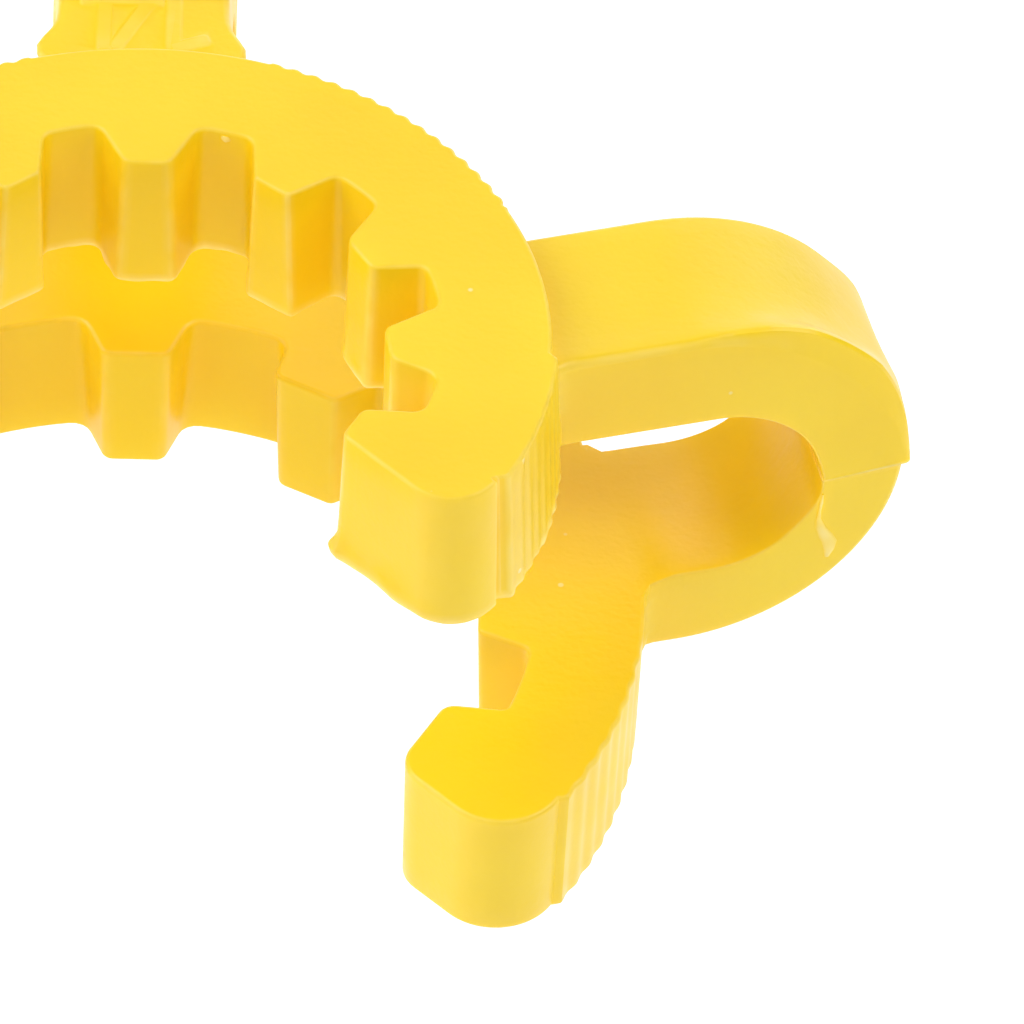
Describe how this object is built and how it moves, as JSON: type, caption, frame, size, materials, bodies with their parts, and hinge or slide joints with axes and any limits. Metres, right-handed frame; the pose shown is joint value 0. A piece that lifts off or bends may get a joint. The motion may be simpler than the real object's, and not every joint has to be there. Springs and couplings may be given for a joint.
{
  "type": "ground glass joint clip",
  "caption": "Plastic spring clip for conical ground glass joints: a small and a large toothed C-ring on one axis, joined by radial spring bows, with flared mouths that open to one side.",
  "frame": {"origin": "on the common axis of the two rings, at the underside of the lower ring", "axes": "+Z along the ring axis from the large ring to the small one, -Y out of the mouths, +Y along the back bow, X across the side bows"},
  "size_m": [0.0394, 0.0275, 0.0136],
  "materials": {
    "yellow_plastic": "satin"
  },
  "bodies": {
    "root": {"clip": "yellow_plastic"}
  },
  "joints": []
}
